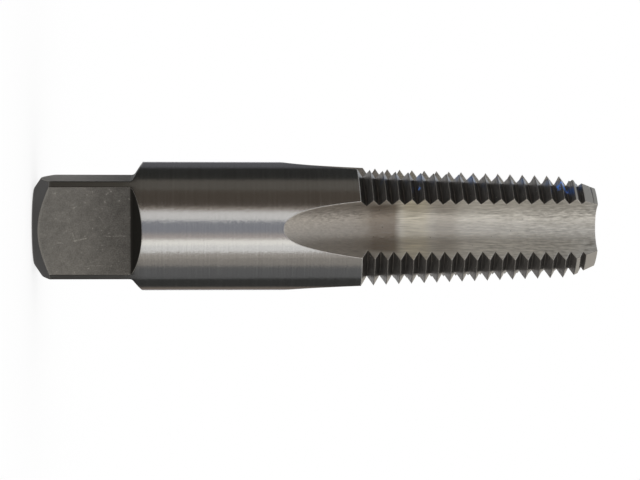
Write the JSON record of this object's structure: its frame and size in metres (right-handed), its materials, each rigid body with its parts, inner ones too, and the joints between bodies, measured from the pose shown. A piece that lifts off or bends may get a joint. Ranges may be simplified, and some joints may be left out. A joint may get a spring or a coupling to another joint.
{
  "type": "taper pipe tap",
  "caption": "Straight-fluted taper pipe tap: square driving end, round shank, run-out flutes and a tapered cutting thread with a chamfered lead.",
  "frame": {"origin": "centre of the square's end face, which the tap stands on", "axes": "+Z runs along the tap to its cutting tip; -Y faces out of one flat of the square; a flute faces the same way to within 1.5 degrees"},
  "size_m": [0.0142, 0.0142, 0.0622],
  "materials": {
    "tool_steel": "hardened tool steel: ground bright shank and flutes, matt grey square, dark thread grooves"
  },
  "bodies": {
    "root": {"pipe_tap": "tool_steel"}
  },
  "joints": []
}
